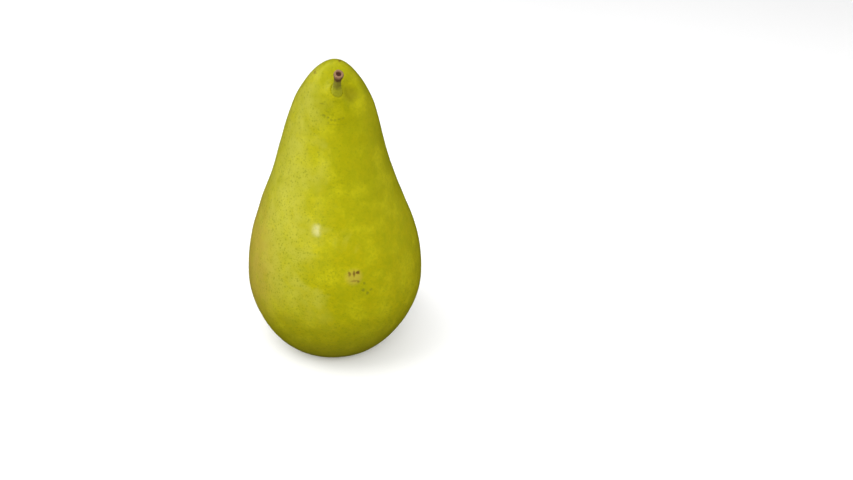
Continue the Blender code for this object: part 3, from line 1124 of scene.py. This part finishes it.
@dataclass
class Sepal:
    """One dried calyx lobe: a pointed leaf with a frayed edge and a keel."""

    number: int
    turn: float
    middle: Vector
    curl: Curl = Curl.USUAL
    root_radius: float = 0.0026
    root_height: float = 0.0050
    length: float = 0.0052
    width: float = 0.0026
    tip_width: float = 0.0003
    thickness: float = 0.00028
    root_heading: float = math.radians(-78.0)
    tip_heading: float = math.radians(-5.0)
    bend: float = 1.2
    fray: float = 0.00022
    cup: float = 0.0003
    keel: float = 0.00016
    keel_width: float = 0.22
    ripple: float = 0.00008
    ripples_across: float = 9.0
    ripples_along: float = 6.0
    taper: float = 1.8
    first_seed: int = 40
    rows: int = 34
    columns: int = 15

    def spine(self) -> list[tuple[float, float, float]]:
        """Returns (radius, height, heading) at each row, root first."""
        spine = []
        radius = self.root_radius
        height = self.root_height
        step = self.length / self.rows
        for row in range(self.rows + 1):
            share = row / self.rows
            swing = (self.tip_heading - self.root_heading) * self.curl.value
            heading = self.root_heading + swing * share**self.bend
            spine.append((radius, height, heading))
            radius += step * math.cos(heading)
            height += step * math.sin(heading)
        return spine

    def build(self, material: bpy.types.Material) -> bpy.types.Object:
        """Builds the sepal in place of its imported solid.

        Args:
            material: The dry finish that the sepals share.

        Returns:
            The finished piece.
        """
        chance = random.Random(self.first_seed + self.number)
        points = []
        spin = Matrix.Rotation(self.turn, 3, "Z")
        for row, (radius, height, heading) in enumerate(self.spine()):
            share = row / self.rows
            width = self.tip_width + (self.width - self.tip_width) * (1.0 - share**self.taper)
            left = chance.uniform(0.0, self.fray) * share
            right = chance.uniform(0.0, self.fray) * share
            for column in range(self.columns):
                across = 2.0 * column / (self.columns - 1) - 1.0
                worn = max(0.0, width / 2 - (right if across > 0 else left))
                cup = self.cup * across * across * (1.0 - share)
                cup += self.keel * math.exp(-((across / self.keel_width) ** 2))
                wave = self.ripples_across * across + self.ripples_along * share + self.number
                cup += self.ripple * math.sin(wave)
                point = Vector((
                    radius + cup * math.sin(heading),
                    across * worn,
                    height - cup * math.cos(heading),
                ))
                points.append(self.middle + spin @ point)
        faces = []
        for row in range(self.rows):
            for column in range(self.columns - 1):
                corner = row * self.columns + column
                faces.append((corner, corner + 1, corner + self.columns + 1, corner + self.columns))
        mesh = bpy.data.meshes.new(f"dried_sepal_{self.number}")
        mesh.from_pydata(points, [], faces)
        mesh.shade_smooth()
        piece = add_piece(f"dried_sepal_{self.number}", mesh, material)
        leaf = piece.modifiers.new("thickness", "SOLIDIFY")
        leaf.thickness = self.thickness
        leaf.offset = 0.0
        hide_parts(f"sepal_{self.number}")
        return piece


@dataclass
class Stamens:
    """The tuft of dried threads that the flower left between the sepals."""

    middle: Vector
    threads: int = 22
    styles: int = 5
    root_radius: float = 0.0011
    tip_radius: float = 0.0016
    top: float = 0.0052
    bottom: float = 0.0022
    thread_radius: float = 0.00010
    head_radius: float = 0.00026
    head_place: float = 0.88
    head_fade: float = 0.09
    thinning: float = 0.3
    sag: float = 0.00035
    uneven_length: float = 0.0012
    uneven_spread: tuple[float, float] = (0.8, 1.15)
    style_spread: tuple[float, float] = (0.1, 0.3)
    thread_spread: tuple[float, float] = (0.55, 1.0)
    uneven_turn: float = 0.12
    seed: int = 11
    rings: int = 9
    sides: int = 8

    def thread(self, chance: random.Random, angle: float, spread: float) -> np.ndarray:
        """Draws one bent thread with a small dried head.

        Args:
            chance: Where the irregularities come from.
            angle: Which way it leans.
            spread: How far out it stands, as a share of the tuft.

        Returns:
            Points as (ring, place in the ring, xyz).
        """
        lean = Vector((math.cos(angle), math.sin(angle), 0.0))
        root = self.middle + lean * self.root_radius * spread
        end = self.middle + lean * self.tip_radius * spread * chance.uniform(*self.uneven_spread)
        root.z = self.top
        end.z = self.bottom + chance.uniform(0.0, self.uneven_length)
        sag = Vector((chance.uniform(-1, 1), chance.uniform(-1, 1), 0.0)) * self.sag
        turn = np.arange(self.sides) * math.tau / self.sides
        rings = []
        for ring in range(self.rings + 1):
            share = ring / self.rings
            spot = root.lerp(end, share) + sag * math.sin(math.pi * share)
            head = math.exp(-(((share - self.head_place) / self.head_fade) ** 2))
            radius = self.thread_radius * (1.0 - self.thinning * share)
            radius += (self.head_radius - self.thread_radius) * head
            radius *= 0.0 if ring in (0, self.rings) else 1.0
            around = [(radius * math.cos(angle), -radius * math.sin(angle)) for angle in turn]
            rings.append([(spot.x + x, spot.y + y, spot.z) for x, y in around])
        return np.array(rings)

    def build(self, material: bpy.types.Material) -> bpy.types.Object:
        """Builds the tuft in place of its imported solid.

        Args:
            material: The dry finish of the threads.

        Returns:
            The finished piece.
        """
        chance = random.Random(self.seed)
        points: list = []
        faces: list = []
        for number in range(self.threads + self.styles):
            inner = number >= self.threads
            spread = chance.uniform(*(self.style_spread if inner else self.thread_spread))
            angle = math.tau * number / (self.styles if inner else self.threads)
            angle += chance.uniform(-self.uneven_turn, self.uneven_turn)
            rings = self.thread(chance, angle, spread)
            strand = sheet_mesh("strand", rings, first_pole=True, last_pole=True)
            start = len(points)
            points += [tuple(vertex.co) for vertex in strand.vertices]
            faces += [tuple(start + index for index in face.vertices) for face in strand.polygons]
            bpy.data.meshes.remove(strand)
        mesh = bpy.data.meshes.new("stamen_threads")
        mesh.from_pydata(points, [], faces)
        mesh.shade_smooth()
        piece = add_piece("stamen_threads", mesh, material)
        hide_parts("stamen_tuft")
        return piece


@dataclass
class Calyx:
    """The dried flower in the eye: five sepals around a tuft of stamens."""

    form: PearForm
    curls: tuple[Curl, ...] = (Curl.USUAL, Curl.TIGHT, Curl.FLAT, Curl.USUAL, Curl.FLAT)
    sepal_finish: DryFinish = DryFinish("dry_sepal", (0.20, 0.125, 0.055), (0.055, 0.030, 0.016), 0.0007)
    stamen_finish: DryFinish = DryFinish("dry_stamen", (0.11, 0.065, 0.030), (0.025, 0.014, 0.008), 0.0004)
    pieces: list = field(default_factory=list)

    def build(self) -> list:
        """Builds the sepals and the tuft, and returns them."""
        middle = Vector((-float(self.form.sway_at(np.array(0.0))), 0.0, 0.0))
        dry = self.sepal_finish.make()
        for index, curl in enumerate(self.curls):
            turn = math.tau * index / len(self.curls)
            self.pieces.append(Sepal(index + 1, turn, middle, curl).build(dry))
        self.pieces.append(Stamens(middle).build(self.stamen_finish.make()))
        return self.pieces


@dataclass(frozen=True)
class SoftLight:
    """A square lamp with a large or small face."""

    name: str
    place: tuple[float, float, float]
    size: float
    power: float
    reflects: bool
    color: Color = (1.0, 1.0, 1.0)

    def build(self, aim: Vector) -> bpy.types.Object:
        """Hangs the lamp and turns it to the pear.

        Args:
            aim: The place that it faces.

        Returns:
            The lamp.
        """
        lamp = bpy.data.lights.new(self.name, "AREA")
        lamp.shape = "SQUARE"
        lamp.size = self.size
        lamp.energy = self.power
        lamp.color = self.color
        holder = bpy.data.objects.new(self.name, lamp)
        holder.location = self.place
        holder.rotation_euler = (aim - Vector(self.place)).to_track_quat("-Z", "Y").to_euler()
        holder.visible_glossy = self.reflects
        bpy.context.scene.collection.objects.link(holder)
        return holder


@dataclass
class Studio:
    """The pale floor, the soft light and the camera."""

    aim: Vector
    elevation: float = math.radians(33.0)
    distance: float = 0.3335
    lens: float = 36.08
    sensor: float = 36.0
    turn_right: float = math.radians(6.04)
    tilt_up: float = math.radians(1.87)
    floor_size: float = 8.0
    sky: float = 0.80
    ground: float = 0.34
    backdrop: float = 0.97
    ground_edge: float = -0.6
    sky_edge: float = 0.5
    nearest: float = 0.01
    lights: tuple[SoftLight, ...] = (
        SoftLight("window", (-0.685, -0.121, 0.326), 0.62, 2.5, True),
        SoftLight("skylight", (-0.394, -0.070, 0.738), 0.60, 2.2, True),
        SoftLight("front_fill", (0.0, -0.737, 0.561), 0.50, 3.2, False),
        SoftLight("right_fill", (0.561, -0.517, 0.495), 0.50, 2.2, False),
        SoftLight("glint", (-0.46, -1.03, 0.225), 0.09, 1.4, True),
    )

    def floor(self) -> bpy.types.Object:
        """Lays the floor."""
        half = self.floor_size / 2
        mesh = bpy.data.meshes.new("pale_floor")
        corners = [(-half, -half, 0.0), (half, -half, 0.0), (half, half, 0.0), (-half, half, 0.0)]
        mesh.from_pydata(corners, [], [(0, 1, 2, 3)])
        mesh.materials.append(FloorFinish().make())
        floor = bpy.data.objects.new("pale_floor", mesh)
        floor.visible_diffuse = False
        floor.visible_glossy = False
        bpy.context.scene.collection.objects.link(floor)
        return floor

    def surroundings(self) -> bpy.types.World:
        """Makes the even light of the room: bright above, dimmer below."""
        world = bpy.data.worlds.new("soft_room")
        world.use_nodes = True
        nodes = world.node_tree.nodes
        links = world.node_tree.links
        background = nodes["Background"]
        coordinates = nodes.new("ShaderNodeTexCoord")
        split = nodes.new("ShaderNodeSeparateXYZ")
        ramp = nodes.new("ShaderNodeMapRange")
        ramp.interpolation_type = "SMOOTHSTEP"
        ramp.inputs["From Min"].default_value = self.ground_edge
        ramp.inputs["From Max"].default_value = self.sky_edge
        ramp.inputs["To Min"].default_value = self.ground
        ramp.inputs["To Max"].default_value = self.sky
        seen = nodes.new("ShaderNodeLightPath")
        choice = nodes.new("ShaderNodeMix")
        choice.inputs[3].default_value = self.backdrop
        links.new(coordinates.outputs["Generated"], split.inputs[0])
        links.new(split.outputs["Z"], ramp.inputs["Value"])
        links.new(seen.outputs["Is Camera Ray"], choice.inputs[0])
        links.new(ramp.outputs["Result"], choice.inputs[2])
        links.new(choice.outputs[0], background.inputs["Strength"])
        background.inputs["Color"].default_value = (1.0, 1.0, 1.0, 1.0)
        world.cycles_visibility.glossy = False
        bpy.context.scene.world = world
        return world

    def camera(self) -> bpy.types.Object:
        """Sets up the camera, a little to the right of the pear in the frame."""
        lens = bpy.data.cameras.new("camera")
        lens.lens = self.lens
        lens.sensor_width = self.sensor
        lens.clip_start = self.nearest
        camera = bpy.data.objects.new("camera", lens)
        back = Vector((0.0, -math.cos(self.elevation), math.sin(self.elevation)))
        level = (-back).to_track_quat("-Z", "Y").to_matrix()
        turn = Euler((self.tilt_up, 0.0, 0.0)).to_matrix()
        swing = Euler((0.0, -self.turn_right, 0.0)).to_matrix()
        place = Matrix.Translation(self.aim + self.distance * back)
        camera.matrix_world = place @ (level @ swing @ turn).to_4x4()
        bpy.context.scene.collection.objects.link(camera)
        bpy.context.scene.camera = camera
        return camera

    def build(self) -> None:
        """Builds the whole studio."""
        scene = bpy.context.scene
        scene.view_settings.view_transform = "Standard"
        scene.view_settings.look = "None"
        self.camera()
        self.floor()
        self.surroundings()
        for light in self.lights:
            light.build(self.aim)


def main() -> None:
    """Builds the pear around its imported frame."""
    logging.basicConfig(level=logging.INFO, format="%(message)s")
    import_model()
    form = PearForm()
    seat = StemSeat()
    Studio(Vector((0.0, 0.0, form.belly.height))).build()
    pieces = [Flesh(form, seat).build(SkinFinish()), Stem(form, seat).build(BarkFinish())]
    pieces += Calyx(form).build()
    for piece in pieces:
        LOG.info("built %s with %d faces", piece.name, len(piece.data.polygons))


if __name__ == "__main__":
    main()
